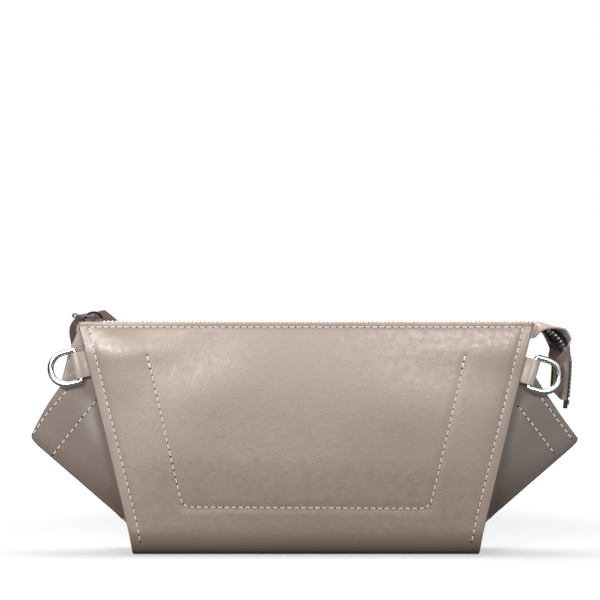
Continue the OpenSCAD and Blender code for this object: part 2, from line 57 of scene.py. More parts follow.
SIDE_GLOW = (1.0, 1.08, 1.2, 1)
SIDE_REACH = (0.12, 0.2)
GLOW_NEAR = 0.48
GLOW_FAR = 1.0
GLOW_REACH = (0.2, 0.45)
COOL_LIGHT = (0.75, 0.87, 1)


def add_node(tree, kind, **settings):
    node = tree.nodes.new("ShaderNode" + kind)
    for key, value in settings.items():
        setattr(node, key, value)
    return node


def seen_directly(tree):
    """The light path, and whether the camera sees a place straight, mirrored or through glass."""
    path = add_node(tree, "LightPath")
    total = path.outputs["Is Camera Ray"]
    for ray in ("Is Glossy Ray", "Is Transmission Ray"):
        plus = add_node(tree, "Math", operation="ADD", use_clamp=True)
        tree.links.new(total, plus.inputs[0])
        tree.links.new(path.outputs[ray], plus.inputs[1])
        total = plus.outputs[0]
    return path, total


camera = bpy.data.objects.new("camera", bpy.data.cameras.new("camera"))
camera.data.lens = CAMERA_LENS
camera.data.sensor_width = CAMERA_FILM
camera.data.clip_start = 0.05
camera.location = [c * MM for c in CAMERA_AT]
camera.rotation_euler = (radians(90), 0, 0)
scene = bpy.context.scene
scene.collection.objects.link(camera)
scene.camera = camera
scene.view_settings.view_transform = "Standard"

air = bpy.data.worlds.new("studio_air")
scene.world = air
air.use_nodes = True
sky = air.node_tree
sky_light = sky.nodes["Background"]
path, directly = seen_directly(sky)
where = add_node(sky, "TexCoord")
axes = add_node(sky, "SeparateXYZ")


def sky_step(low, high):
    """A soft edge of a card in the room, between two directions."""
    step = add_node(sky, "MapRange", interpolation_type="SMOOTHSTEP")
    step.inputs["From Min"].default_value = low
    step.inputs["From Max"].default_value = high
    return step


card_reach = sky_step(-0.45, -0.75)
card_foot = sky_step(0.0, 0.34)
sweep_reach = sky_step(0.55, 0.85)
sweep_foot = sky_step(0.05, 0.3)
roof_reach = sky_step(0.3, 0.65)
card = add_node(sky, "Math", operation="MULTIPLY")
sweep = add_node(sky, "Math", operation="MULTIPLY")
around = add_node(sky, "Math", operation="MAXIMUM")
bright = add_node(sky, "Math", operation="MAXIMUM")
reflected = add_node(sky, "MixRGB")
reflected.inputs["Color1"].default_value = AIR_SIDE
reflected.inputs["Color2"].default_value = WHITE
looked_at = add_node(sky, "MixRGB")
looked_at.inputs["Color2"].default_value = WHITE
shown = add_node(sky, "MixRGB")
shown.inputs["Color1"].default_value = AIR
sky.links.new(where.outputs["Generated"], axes.inputs[0])
sky.links.new(axes.outputs["Y"], card_reach.inputs["Value"])
sky.links.new(axes.outputs["Z"], card_foot.inputs["Value"])
sky.links.new(axes.outputs["Y"], sweep_reach.inputs["Value"])
sky.links.new(axes.outputs["Z"], sweep_foot.inputs["Value"])
sky.links.new(axes.outputs["Z"], roof_reach.inputs["Value"])
sky.links.new(card_reach.outputs[0], card.inputs[0])
sky.links.new(card_foot.outputs[0], card.inputs[1])
sky.links.new(sweep_reach.outputs[0], sweep.inputs[0])
sky.links.new(sweep_foot.outputs[0], sweep.inputs[1])
sky.links.new(card.outputs[0], around.inputs[0])
sky.links.new(sweep.outputs[0], around.inputs[1])
sky.links.new(around.outputs[0], bright.inputs[0])
sky.links.new(roof_reach.outputs[0], bright.inputs[1])
sky.links.new(bright.outputs[0], reflected.inputs["Fac"])
sky.links.new(reflected.outputs[0], looked_at.inputs["Color1"])
sky.links.new(path.outputs["Is Camera Ray"], looked_at.inputs["Fac"])
sky.links.new(directly, shown.inputs["Fac"])
sky.links.new(looked_at.outputs[0], shown.inputs["Color2"])
sky.links.new(shown.outputs[0], sky_light.inputs["Color"])

paper_mesh = bpy.data.meshes.new("paper_sweep")
paper_mesh.from_pydata(
    [(x * PAPER_HALF, y * PAPER_HALF, PAPER_Z) for x, y in ((-1, -1), (1, -1), (1, 1), (-1, 1))],
    [], [(0, 1, 2, 3)],
)
paper = bpy.data.objects.new("paper_sweep", paper_mesh)
scene.collection.objects.link(paper)
paper_finish = bpy.data.materials.new("white_paper")
paper_finish.use_nodes = True
tree = paper_finish.node_tree
tree.nodes.clear()
matte = add_node(tree, "BsdfDiffuse")
matte.inputs["Color"].default_value = PAPER
bounce = add_node(tree, "BsdfDiffuse")
bounce.inputs["Color"].default_value = PAPER_BOUNCE
side_glow = add_node(tree, "Emission")
side_glow.inputs["Color"].default_value = SIDE_GLOW
glow = add_node(tree, "Emission")
spot = add_node(tree, "TexCoord")
reach = add_node(tree, "VectorMath", operation="LENGTH")
fade = add_node(tree, "MapRange", interpolation_type="SMOOTHSTEP")
fade.inputs["From Min"].default_value, fade.inputs["From Max"].default_value = GLOW_REACH
fade.inputs["To Min"].default_value = GLOW_NEAR
fade.inputs["To Max"].default_value = GLOW_FAR
tree.links.new(spot.outputs["Object"], reach.inputs[0])
tree.links.new(reach.outputs["Value"], fade.inputs["Value"])
tree.links.new(fade.outputs[0], glow.inputs["Strength"])
split = add_node(tree, "SeparateXYZ")
across = add_node(tree, "Math", operation="ABSOLUTE")
side_fade = add_node(tree, "MapRange", interpolation_type="SMOOTHSTEP")
side_fade.inputs["From Min"].default_value, side_fade.inputs["From Max"].default_value = SIDE_REACH
side_strength = add_node(tree, "Math", operation="MULTIPLY")
dim = add_node(tree, "AddShader")
both = add_node(tree, "AddShader")
choose = add_node(tree, "MixShader")
out = add_node(tree, "OutputMaterial")
path = add_node(tree, "LightPath")
tree.links.new(matte.outputs[0], both.inputs[0])
tree.links.new(glow.outputs[0], both.inputs[1])
tree.links.new(spot.outputs["Object"], split.inputs[0])
tree.links.new(split.outputs["X"], across.inputs[0])
tree.links.new(across.outputs[0], side_fade.inputs["Value"])
tree.links.new(side_fade.outputs[0], side_strength.inputs[0])
tree.links.new(path.outputs["Is Diffuse Ray"], side_strength.inputs[1])
tree.links.new(side_strength.outputs[0], side_glow.inputs["Strength"])
tree.links.new(bounce.outputs[0], dim.inputs[0])
tree.links.new(side_glow.outputs[0], dim.inputs[1])
tree.links.new(path.outputs["Is Camera Ray"], choose.inputs["Fac"])
tree.links.new(dim.outputs[0], choose.inputs[1])
tree.links.new(both.outputs[0], choose.inputs[2])
tree.links.new(choose.outputs[0], out.inputs["Surface"])
paper_mesh.materials.append(paper_finish)


def soft_light(name, place, aim, size, watts, colour=(1, 1, 1)):
    """A lamp behind a wide cloth, at one place in the room and aimed at another."""
    lamp = bpy.data.lights.new(name, "AREA")
    lamp.shape = "RECTANGLE"
    lamp.size, lamp.size_y = size
    lamp.energy = watts
    lamp.color = colour
    holder = bpy.data.objects.new(name, lamp)
    holder.location = place
    holder.visible_camera = False
    holder.rotation_euler = (Vector(aim) - Vector(place)).to_track_quat("-Z", "Y").to_euler()
    scene.collection.objects.link(holder)


soft_light("key_light", (-0.28, -0.63, 0.35), (-0.04, 0, 0.1), (0.32, 0.13), 3.0)
soft_light("second_light", (0.17, -0.65, 0.35), (0.02, 0, 0.1), (0.22, 0.13), 1.45)
soft_light("top_light", (0, 0.06, 0.8), (0, 0, 0), (0.6, 0.3), 5.0)
soft_light("left_light", (-0.3, -0.2, 0.01), (-0.14, 0, 0.05), (0.2, 0.2), 0.15, COOL_LIGHT)
soft_light("right_light", (0.3, -0.2, 0.01), (0.14, 0, 0.05), (0.2, 0.2), 0.15, COOL_LIGHT)

# The body is one piece of smooth calf leather that wraps the front, the base and the back. Its
# edges are cut raw and burnished, the zip strips, the gussets and the pocket are sewn to it from
# behind, and it is soft enough to dent round the seams and the strap tabs.
TOP_W = 276
BOTTOM_W = 209
BODY_H = 140
BODY_DEPTH = 46
MOUTH_DEPTH = 18.8
BEND_R = 14
BODY_T = 1.7
TAPER_FOOT_Z = 8.5
FOOT_EASE_R = 70
EDGE_R = 0.4
EDGE_BREAK = 0.12
SWELL = 2.4
SWELL_Z = 60
SWELL_FOOT_Z = 8
SEAM_IN = 6.0
TOP_SEAM_IN = 2.8
SEAM_DENT = 0.22
POCKET_DENT = 0.3
CALF = (0.258, 0.181, 0.13)
CALF_DEEP = (0.237, 0.164, 0.117)
BURNISHED = (0.2, 0.13, 0.1)

FLAT_HALF = BODY_DEPTH / 2 - BEND_R
MOUTH_IN = MOUTH_DEPTH / 2 - FLAT_HALF
LEAN = atan2(BODY_H - BEND_R, MOUTH_IN) - acos(BEND_R / hypot(MOUTH_IN, BODY_H - BEND_R))
TAPER = (TOP_W - BOTTOM_W) / 2 / (BODY_H - TAPER_FOOT_Z)
EASE_LEN = FOOT_EASE_R * tan(atan(TAPER) / 2)
EASE_LOW = TAPER_FOOT_Z - EASE_LEN
EASE_HIGH = TAPER_FOOT_Z + EASE_LEN * cos(atan(TAPER))
PANEL_LEN = (BODY_H - BEND_R - BEND_R * sin(LEAN)) / cos(LEAN)
BEND_LEN = BEND_R * (pi / 2 + LEAN)
HALF_LEN = PANEL_LEN + BEND_LEN + FLAT_HALF


def half_width(z):
    """Half of the body's width at a height: straight sides, eased into the base by an arc."""
    if z >= EASE_HIGH:
        return TOP_W / 2 - (BODY_H - z) * TAPER
    if z <= EASE_LOW:
        return BOTTOM_W / 2
    return BOTTOM_W / 2 + FOOT_EASE_R - sqrt(FOOT_EASE_R ** 2 - (z - EASE_LOW) ** 2)


def bell(value, centre, width):
    return exp(-((value - centre) / width) ** 2)


def off_line(x, z, a, b):
    """How far a place in the front view lies from the line between two points."""
    along = Vector((b[0] - a[0], b[1] - a[1]))
    step = Vector((x - a[0], z - a[1]))
    share = min(max(step.dot(along) / along.length_squared, 0), 1)
    return (step - share * along).length


POCKET_SEAM = [(-95.6, 120.4), (-74.0, 29.6), (74.1, 28.7), (96.4, 120.4)]
SOFT_SPOTS = [
    # x, z, width, height, depth inwards
    (-112, 110, 16, 15, -0.9), (-128, 95, 9, 24, 0.7), (-118, 60, 9, 26, 0.5),
    (113, 108, 15, 17, 0.3), (128, 92, 9, 22, 0.7), (116, 56, 9, 26, 0.5),
    (-20, 70, 46, 34, 0.7), (52, 52, 30, 30, 0.55), (-62, 42, 26, 22, 0.35),
    (-60, 98, 24, 16, -0.3), (70, 92, 26, 18, -0.3), (-104, 124, 34, 9, -0.8),
    (88, 124, 28, 10, -0.5), (122, 124, 16, 12, -0.6), (-118, 124, 15, 12, -0.8),
    (-62, 124, 20, 12, 0.55),
]


def sink(x, z, front):
    """How far the leather lies inside its drawn face at one place."""
    fade = min(max((z - 14) / 16, 0), 1) * min(max((BODY_H - z) / 8, 0), 1)
    turn = 1 if front else -1
    depth = fade * sum(
        d * bell(turn * x, sx, w) * bell(z, sz, h) for sx, sz, w, h, d in SOFT_SPOTS
    )
    rise = min(max((z - SWELL_FOOT_Z) / (SWELL_Z - SWELL_FOOT_Z), 0), 1)
    fall = 1 - (max(z - SWELL_Z, 0) / (BODY_H - SWELL_Z)) ** 2.2
    depth -= SWELL * rise * rise * (3 - 2 * rise) * fall * (1 - (abs(x) / half_width(z)) ** 4)
    edge = (half_width(z) - abs(x)) / sqrt(1 + TAPER ** 2)
    depth += SEAM_DENT * bell(edge, SEAM_IN, 1.5) * min(max((z - 6) / 8, 0), 1)
    depth += SEAM_DENT * bell(BODY_H - z, TOP_SEAM_IN, 1.3)
    if front:
        near = min(off_line(x, z, a, b) for a, b in zip(POCKET_SEAM, POCKET_SEAM[1:]))
        depth += POCKET_DENT * bell(near, 0, 1.7)
    return depth


def profile_point(s):
    """Outer face of the body's side profile, s along it from the front's top edge."""
    side, s = (-1, s) if s <= HALF_LEN else (1, 2 * HALF_LEN - s)
    if s <= PANEL_LEN:
        y = MOUTH_DEPTH / 2 + s * sin(LEAN)
        return side * y, BODY_H - s * cos(LEAN), side * cos(LEAN), sin(LEAN)
    if s <= PANEL_LEN + BEND_LEN:
        a = LEAN - (s - PANEL_LEN) / BEND_R
        return side * (FLAT_HALF + BEND_R * cos(a)), BEND_R * (1 + sin(a)), side * cos(a), sin(a)
    return side * (HALF_LEN - s), 0, 0, -1


def body_stations():
    """Places along the side profile, close together at the top edge and its seam."""
    near_top = [0, 0.1, 0.25, EDGE_R, 0.8, 1.4, 1.9, 2.3, 2.7, 3.1, 3.5, 4.1, 5, 6.2, 8]
    low = near_top[-1]
    panel = near_top + [low + (PANEL_LEN - low) * i / 60 for i in range(1, 61)]
    bend = [PANEL_LEN + BEND_LEN * i / 14 for i in range(1, 15)]
    half = panel + bend + [PANEL_LEN + BEND_LEN + FLAT_HALF * k for k in (0.5, 1)]
    whole = 2 * half[-1]
    return half + [whole - s for s in reversed(half[:-1])], whole


def body_columns(w):
    """Places across the sheet, close together at the side edges and their seams."""
    rim = [EDGE_R, 1.2, 2.4, 3.6, 4.5, 5.2, 5.9, 6.6, 7.4, 8.6, 10.5, 13]
    mid = [-w + rim[-1] + 2 * (w - rim[-1]) * i / 120 for i in range(1, 120)]
    return [-w + e for e in rim] + mid + [w - e for e in reversed(rim)]


def body_ring(s, whole):
    """One ring round the sheet's thickness: outer face, edge, inner face, edge."""
    y, z, ny, nz = profile_point(s)
    end = min(s, whole - s)
    inset = EDGE_R - sqrt(max(EDGE_R ** 2 - max(EDGE_R - end, 0) ** 2, 0))
    rounds = [(EDGE_BREAK, EDGE_BREAK), (0, EDGE_R), (0, BODY_T - EDGE_R),
              (EDGE_BREAK, BODY_T - EDGE_BREAK)]

    def place(e_or_x, depth, side=0):
        depth = min(max(depth, inset), BODY_T - inset)
        w = half_width(max(z - depth * nz, 0)) - inset
        x = side * (w - e_or_x) if side else e_or_x * w
        low = sink(x, z, y < 0) if s < PANEL_LEN or whole - s < PANEL_LEN else 0
        d = depth + low
        return x * MM, (y - d * ny) * MM, (z - d * nz) * MM

    w0 = half_width(z)
    columns = [x / w0 for x in body_columns(w0)]
    return (
        [place(u, 0) for u in columns]
        + [place(e, d, 1) for e, d in rounds]
        + [place(u, BODY_T) for u in reversed(columns)]
        + [place(e, d, -1) for e, d in reversed(rounds)]
    ), len(columns), len(rounds)


def new_piece(name, verts, faces, body, slot, *materials):
    """A smooth mesh of its own that rides one of the bag's five bodies."""
    mesh = bpy.data.meshes.new(name)
    mesh.from_pydata(verts, [], faces)
    for material in materials:
        mesh.materials.append(material)
    piece = bpy.data.objects.new(name, mesh)
    scene.collection.objects.link(piece)
    work = bmesh.new()
    work.from_mesh(mesh)
    bmesh.ops.recalc_face_normals(work, faces=work.faces)
    work.to_mesh(mesh)
    work.free()
    mesh.polygons.foreach_set("use_smooth", [True] * len(mesh.polygons))
    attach(piece, body)
    return piece


def leather(name, tone, deep, roughness=0.355, grain=1.0, gloss=1.0):
    """Smooth calf: a clouded dye, fine pores and soft creases, and a waxy surface."""
    material = bpy.data.materials.new(name)
    material.use_nodes = True
    tree = material.node_tree
    shader = tree.nodes["Principled BSDF"]
    shader.inputs["Specular IOR Level"].default_value = gloss
    shader.inputs["Sheen Weight"].default_value = 0.08
    shader.inputs["Sheen Roughness"].default_value = 0.5
    coord = add_node(tree, "TexCoord")

    def noise(scale, detail, rough=0.55):
        texture = add_node(tree, "TexNoise")
        texture.inputs["Scale"].default_value = scale
        texture.inputs["Detail"].default_value = detail
        texture.inputs["Roughness"].default_value = rough
        tree.links.new(coord.outputs["Object"], texture.inputs["Vector"])
        return texture.outputs["Fac"]

    def spread(value, low, high, to_low, to_high):
        ranged = add_node(tree, "MapRange")
        for key, number in zip(("From Min", "From Max", "To Min", "To Max"),
                               (low, high, to_low, to_high)):
            ranged.inputs[key].default_value = number
        tree.links.new(value, ranged.inputs["Value"])
        return ranged.outputs[0]

    cloud = spread(noise(14, 5), 0.35, 0.68, 0, 0.75)
    dye = add_node(tree, "MixRGB")
    dye.inputs["Color1"].default_value = (*tone, 1)
    dye.inputs["Color2"].default_value = (*deep, 1)
    tree.links.new(cloud, dye.inputs["Fac"])
    speck = spread(noise(1100, 3, 0.7), 0.3, 0.7, 0.93, 1.05)
    dotted = add_node(tree, "VectorMath", operation="SCALE")
    tree.links.new(dye.outputs[0], dotted.inputs[0])
    tree.links.new(speck, dotted.inputs["Scale"])
    tree.links.new(dotted.outputs[0], shader.inputs["Base Color"])
    tree.links.new(
        spread(noise(260, 4), 0.3, 0.7, roughness - 0.06, roughness + 0.08),
        shader.inputs["Roughness"],
    )
    pores = add_node(tree, "TexVoronoi", feature="SMOOTH_F1")
    pores.inputs["Scale"].default_value = 1500
    tree.links.new(coord.outputs["Object"], pores.inputs["Vector"])
    mix = add_node(tree, "Math", operation="MULTIPLY_ADD")
    tree.links.new(noise(420, 4, 0.6), mix.inputs[0])
    mix.inputs[1].default_value = 1.6
    tree.links.new(pores.outputs["Distance"], mix.inputs[2])
    bump = add_node(tree, "Bump")
    bump.inputs["Strength"].default_value = 0.32 * grain
    bump.inputs["Distance"].default_value = 0.00012
    tree.links.new(mix.outputs[0], bump.inputs["Height"])
    tree.links.new(bump.outputs[0], shader.inputs["Normal"])
    return material


calf = leather("calf_leather", CALF, CALF_DEEP)
burnished = leather("burnished_edge", BURNISHED, BURNISHED, 0.4, 0.6)

stations, whole = body_stations()
rings = []
for s in stations:
    ring, columns, edge = body_ring(s, whole)
    rings.append(ring)
count = len(rings[0])
faces = [
    (i * count + j, i * count + (j + 1) % count,
     (i + 1) * count + (j + 1) % count, (i + 1) * count + j)
    for i in range(len(rings) - 1) for j in range(count)
]
for first in (0, (len(rings) - 1) * count):
    inner = [first + 2 * columns + edge - 1 - j for j in range(columns)]
    for j in range(columns - 1):
        faces.append((first + j, first + j + 1, inner[j + 1], inner[j]))
    faces.append([first + columns - 1 + k for k in range(edge + 2)])
    faces.append([first + 2 * columns + edge - 1 + k for k in range(edge + 1)] + [first])
body = new_piece(
    "body_leather", [p for ring in rings for p in ring], faces, "bag", "leather", calf, burnished
)
rim = set(range(columns - 1, columns + edge)) | set(range(2 * columns + edge - 1, count))
ring_faces = (len(rings) - 1) * count
for polygon in body.data.polygons:
    on_rim = polygon.index % count in rim if polygon.index < ring_faces else True
    polygon.material_index = 1 if on_rim else 0
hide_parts("body_panel")

# Every seam is a lock stitch in thick waxed thread, about six stitches to the inch. The needle
# leaves a round hole at each end of a stitch, where the thread dives in.
STITCH = 4.15
THREAD_R = 0.31
THREAD_DIP = 0.22
THREAD_RISE = (0.27, 0.36)
THREAD_SLANT = 0.1
THREAD = (0.74, 0.68, 0.6)
HOLE_R = 0.78
# The holes' darkness is painted shade, on small dark discs that sit on the leather.
HOLE_SHADE = (0.035, 0.022, 0.017)
hand = random.Random(11)


def plain(name, colour, roughness, metallic=0.0, vary=0.06, scale=900, bump_depth=0.0):
    """Thread, tape or metal: one colour that varies a little, with an uneven shine."""
    material = bpy.data.materials.new(name)
    material.use_nodes = True
    tree = material.node_tree
    shader = tree.nodes["Principled BSDF"]
    shader.inputs["Metallic"].default_value = metallic
    coord = add_node(tree, "TexCoord")
    noise = add_node(tree, "TexNoise")
    noise.inputs["Scale"].default_value = scale
    noise.inputs["Detail"].default_value = 4
    tree.links.new(coord.outputs["Object"], noise.inputs["Vector"])
    tint = add_node(tree, "MixRGB")
    tint.inputs["Color1"].default_value = (*[c * (1 - vary) for c in colour], 1)
    tint.inputs["Color2"].default_value = (*[min(c * (1 + vary), 1) for c in colour], 1)
    tree.links.new(noise.outputs["Fac"], tint.inputs["Fac"])
    tree.links.new(tint.outputs[0], shader.inputs["Base Color"])
    ranged = add_node(tree, "MapRange")
    ranged.inputs["From Min"].default_value = 0.3
    ranged.inputs["From Max"].default_value = 0.7
    ranged.inputs["To Min"].default_value = roughness * 0.85
    ranged.inputs["To Max"].default_value = roughness * 1.2
    tree.links.new(noise.outputs["Fac"], ranged.inputs["Value"])
    tree.links.new(ranged.outputs[0], shader.inputs["Roughness"])
    if bump_depth:
        bump = add_node(tree, "Bump")
        bump.inputs["Strength"].default_value = 0.4
        bump.inputs["Distance"].default_value = bump_depth * MM
        tree.links.new(noise.outputs["Fac"], bump.inputs["Height"])
        tree.links.new(bump.outputs[0], shader.inputs["Normal"])
    return material


waxed_thread = plain("waxed_thread", THREAD, 0.7, vary=0.12, scale=2600, bump_depth=0.08)
needle_hole_shade = plain("needle_hole_shade", HOLE_SHADE, 0.9)


def skin_of(piece):
    """The piece's surface, ready to find where a needle meets it."""
    mesh = piece.data
    return BVHTree.FromPolygons([v.co for v in mesh.vertices], [p.vertices for p in mesh.polygons])


def walk_line(line, pitch):
    """Places at an even pitch along a line, which is stretched to whole stitches."""
    lengths = [hypot(b[0] - a[0], b[1] - a[1]) for a, b in zip(line, line[1:])]
    total = sum(lengths)
    steps = max(round(total / pitch), 1)
    places = []
    for i in range(steps + 1):
        left = total * i / steps
        for (a, b), length in zip(zip(line, line[1:]), lengths):
            if left <= length + 1e-6:
                break
            left -= length
        k = min(left / length, 1)
        places.append((a[0] + (b[0] - a[0]) * k, a[1] + (b[1] - a[1]) * k))
    return places


def holes_on(skin, line, side):
    """Where the needle goes in along a line, on the front (-1) or the back (1) of a skin."""
    found = []
    for x, z in walk_line(line, STITCH):
        start = Vector((x * MM, side * 0.2, z * MM))
        place, normal, _, _ = skin.ray_cast(start, Vector((0, -side, 0)))
        if place is not None:
            found.append((place, normal if normal.y * side > 0 else -normal))
        else:
            found.append(None)
    return found


def thread_tube(verts, faces, middle, across, up, radius, sides=8):
    """Adds one stitch: a slightly flattened tube along a middle line, narrower at both ends."""
    base = len(verts)
    for i, point in enumerate(middle):
        swell = 1 if 0 < i < len(middle) - 1 else 0.7
        for k in range(sides):
            a = 2 * pi * k / sides
            verts.append(point + radius * swell * (cos(a) * across + 0.85 * sin(a) * up))
    for i in range(len(middle) - 1):
        for k in range(sides):
            a, b = base + i * sides + k, base + i * sides + (k + 1) % sides
            faces.append((a, b, b + sides, a + sides))
    last = base + (len(middle) - 1) * sides
    faces.append([base + k for k in range(sides)])
    faces.append([last + k for k in range(sides)])


def sew(name, seams):
    """A short arched thread from hole to hole, and at every hole a dent coloured dark as painted
    shade of the hole.
    """
    verts, faces, dents, dent_faces = [], [], [], []
    for holes in seams:
        for a, b in zip(holes, holes[1:]):
            if a is None or b is None:
                continue
            along = b[0] - a[0]
            up = (a[1] + b[1]).normalized()
            across = along.cross(up).normalized()
            slant = hand.uniform(-THREAD_SLANT, THREAD_SLANT) * MM
            rise = hand.uniform(*THREAD_RISE) * MM
            middle = []
            for k in range(7):
                u = k / 6
                reach = 0.13 + 0.74 * u
                height = (rise + THREAD_DIP * MM) * sin(pi * u) ** 0.5 - THREAD_DIP * MM
                middle.append(a[0] + along * reach + up * height + across * slant * (2 * u - 1))
            thread_tube(verts, faces, middle, across, up, THREAD_R * MM)
        for hole in holes:
            if hole is None:
                continue
            place, normal = hole
            flat = normal.cross(Vector((0.3, 0.1, 1))).normalized()
            base = len(dents)
            dents.append(place + normal * 0.035 * MM)
            for k in range(10):
                a = 2 * pi * k / 10
                rim_point = cos(a) * flat + sin(a) * normal.cross(flat)
                dents.append(place + rim_point * HOLE_R * MM - normal * 0.02 * MM)
            dents.append(place - normal * 0.3 * MM)
            for k in range(10):
                c, d = base + 1 + k, base + 1 + (k + 1) % 10
                dent_faces.append((base, c, d))
                dent_faces.append((base + 11, d, c))
    new_piece(name + "_thread", verts, faces, "bag", "leather", waxed_thread)
    new_piece(name + "_holes", dents, dent_faces, "bag", "leather", needle_hole_shade)


body_skin = skin_of(body)
SIDE_ROW = [
    # z, in from the side edge
    (BODY_H - TOP_SEAM_IN, 5.8), (26, 6.3), (9, 6.0),
]


def side_row(side):
    return [(side * (half_width(z) - inset), z) for z, inset in SIDE_ROW]


top_row = [side_row(-1)[0], side_row(1)[0]]
panel_seams = []
for face in (-1, 1):
    panel_seams.append(holes_on(body_skin, top_row, face))
    for side in (-1, 1):
        panel_seams.append(holes_on(body_skin, side_row(side), face))
sew("panel_seam", panel_seams)

# The pocket inside is a flat panel of dark lining leather. Its seam comes through the front, and
# its first two stitches are sewn double at both upper corners.
POCKET_CORNER = 4
TACK_ASIDE = 0.5
LINING = (0.17, 0.105, 0.08)
LINING_DEEP = (0.12, 0.07, 0.055)


def corner_cut(a, b, c, r):
    """Three points that round the corner b of a seam."""
    before = Vector(a) - Vector(b)
    after = Vector(c) - Vector(b)
    corner = Vector(b)
    start = corner + before.normalized() * r
    end = corner + after.normalized() * r
    middle = (start + end) / 2 * 0.5 + corner * 0.5
    return [tuple(start), tuple(middle), tuple(end)]


pocket_line = (
    [POCKET_SEAM[0]] + corner_cut(*POCKET_SEAM[0:3], POCKET_CORNER)
    + corner_cut(*POCKET_SEAM[1:4], POCKET_CORNER) + [POCKET_SEAM[3]]
)
tacks = []
for top, foot in (POCKET_SEAM[:2], POCKET_SEAM[:1:-1]):
    down = (Vector(foot) - Vector(top)).normalized()
    aside = Vector((down.y, -down.x)) * TACK_ASIDE
    tacks.append([tuple(Vector(top) + aside), tuple(Vector(top) + aside + down * 2 * STITCH)])
sew("pocket_seam", [holes_on(body_skin, line, -1) for line in [pocket_line] + tacks])

lining = leather("lining_leather", LINING, LINING_DEEP, 0.6)


def dressed_copy(name, node, body, slot, *materials, rounds=2, rim=0.3):
    """The node's own sheet with its triangles paired, its faces smoothed and its rims eased."""
    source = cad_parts[node]
    mesh = source.data.copy()
    mesh.name = name
    mesh.materials.clear()
    for material in materials:
        mesh.materials.append(material)
    piece = bpy.data.objects.new(name, mesh)
    scene.collection.objects.link(piece)
    work = bmesh.new()
    work.from_mesh(mesh)
    bmesh.ops.transform(work, matrix=source.matrix_world, verts=work.verts)
    bmesh.ops.remove_doubles(work, verts=work.verts, dist=2e-6)
    bmesh.ops.join_triangles(
        work, faces=work.faces, angle_face_threshold=radians(50),
        angle_shape_threshold=radians(60),
    )
    crease = work.edges.layers.float.new("crease_edge")
    for edge in work.edges:
        if len(edge.link_faces) == 2 and edge.calc_face_angle(0) > radians(55):
            edge[crease] = 1
    work.to_mesh(mesh)
    work.free()
    if rounds:
        smooth = piece.modifiers.new("smooth", "SUBSURF")
        smooth.levels = smooth.render_levels = rounds
    if rim:
        ease = piece.modifiers.new("rim", "BEVEL")
        ease.width = rim * MM
        ease.segments = 2
        ease.limit_method = "ANGLE"
        ease.angle_limit = radians(40)
    shape = piece.evaluated_get(bpy.context.evaluated_depsgraph_get())
    piece.data = bpy.data.meshes.new_from_object(shape)
    piece.modifiers.clear()
    piece.data.name = name
    piece.data.polygons.foreach_set("use_smooth", [True] * len(piece.data.polygons))
    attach(piece, body)
    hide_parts(node)
    return piece


dressed_copy("pocket_panel", "inner_pocket", "bag", "leather_lining", lining, rounds=0)

# A gusset is one piece of the same calf, folded down its middle, which spreads out past the
# panels as a wing. Its hem is turned over a facing and sewn with two rows through both. The left
# hem bellies out and the right one is drawn in.
HEM = {
    # side: hem from its top to the tip, how far the middle of the hem stands out
    -1: ((-132.5, 118.5), (-168.3, 69), 3.7),
    1: ((132.5, 118.5), (168.3, 69), -1.6),
}
HEM_SHIFT_REACH = 26
RIGHT_TIP_IN = 1.2
HEM_ROWS = {
    -1: [[(-166.0, 72.0), (-157.4, 84.6), (-145.0, 98.6)], [(-154.0, 59.3), (-127.4, 92.6)]],
    1: [[(161.5, 69.4), (142.4, 94.8)], [(150.5, 61.1), (128.9, 89.2)]],
}
FOLD_FOOT = (110.9, 23.3)
FOLD_SWELL = 0.9
TIP_R = 4.5
VALLEY = {-1: 1.6, 1: 1.2}
RIPPLE = 0.4
# The wings' calf is coloured darker than the body's: painted shade on wings that face sideways and
# lie back behind the panel.
WING = (0.183, 0.126, 0.092)
WING_DEEP = (0.164, 0.112, 0.081)
# The right wing is coloured darker than the left: painted shade on the wing that faces away from
# the key light.
WING_PAINTED_SHADE = {-1: 1.0, 1: 0.82}
wing_leather_painted_shade = {
    side: leather("wing_leather_" + word, [c * WING_PAINTED_SHADE[side] for c in WING],
                  [c * WING_PAINTED_SHADE[side] for c in WING_DEEP], 0.42)
    for side, word in ((-1, "left"), (1, "right"))
}


def shift_hem(x, z, side):
    """How far a place on a wing moves square to the hem, in the front view."""
    top, tip, out = HEM[side]
    along = Vector((tip[0] - top[0], tip[1] - top[1]))
    step = Vector((x - top[0], z - top[1]))
    share = min(max(step.dot(along) / along.length_squared, 0), 1.15)
    square = Vector((-along.y * -side, along.x * -side)).normalized()
    if square.x * side < 0:
        square = -square
    amount = out * sin(pi * min(share, 1)) ** 0.8
    if side > 0:
        amount -= RIGHT_TIP_IN * min(max(share - 0.5, 0) * 2, 1)
    return square * amount * bell(max(-step.dot(square), 0), 0, HEM_SHIFT_REACH)


def round_tip(x, z, side):
    """Rounds the corner between the hem and the fold, in the front view."""
    top, tip, _ = HEM[side]
    corner = Vector(tip)
    hem_way = (Vector(top) - corner).normalized()
    fold_way = (Vector((side * FOLD_FOOT[0], FOLD_FOOT[1])) - corner).normalized()
    step = Vector((x, z)) - corner
    along_hem, along_fold = step.dot(hem_way), step.dot(fold_way)
    if along_hem >= TIP_R or along_fold >= TIP_R:
        return Vector((0, 0))
    away = hypot(TIP_R - along_hem, TIP_R - along_fold)
    if away <= TIP_R:
        return Vector((0, 0))
    share = 1 - TIP_R / away
    return (hem_way * (TIP_R - along_hem) + fold_way * (TIP_R - along_fold)) * share


